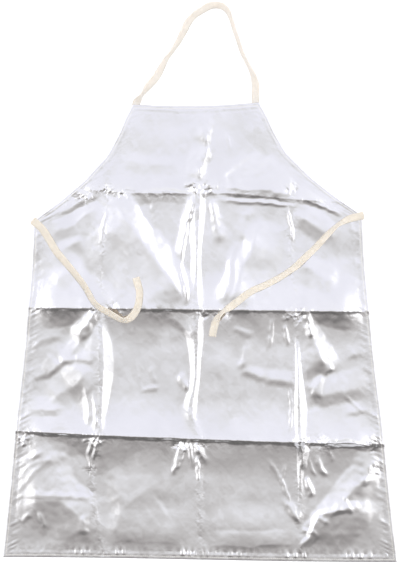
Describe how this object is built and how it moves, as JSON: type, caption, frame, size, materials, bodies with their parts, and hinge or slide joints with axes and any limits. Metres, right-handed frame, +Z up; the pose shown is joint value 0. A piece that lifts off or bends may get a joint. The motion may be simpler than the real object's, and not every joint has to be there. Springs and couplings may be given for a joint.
{
  "type": "aluminized apron",
  "caption": "Heat-reflecting bib apron of foil-faced cloth with a neck strap and two waist ties of twill tape, lying flat.",
  "frame": {"origin": "middle of the outline, on the floor that the apron lies on", "axes": "+Y from the hem to the neck loop, +Z up from the foil face, +X to the right as it is looked down on"},
  "size_m": [0.788, 1.1192, 0.0241],
  "materials": {
    "foil_cloth": "bright aluminium foil bonded to a woven cloth, creased, with a plain woven back",
    "neck_tape": "matt cream cotton twill tape",
    "tie_tape": "matt cream cotton twill tape"
  },
  "bodies": {
    "root": {"apron_body": "foil_cloth", "neck_strap": "neck_tape", "left_waist_tie": "tie_tape", "right_waist_tie": "tie_tape"}
  },
  "joints": []
}
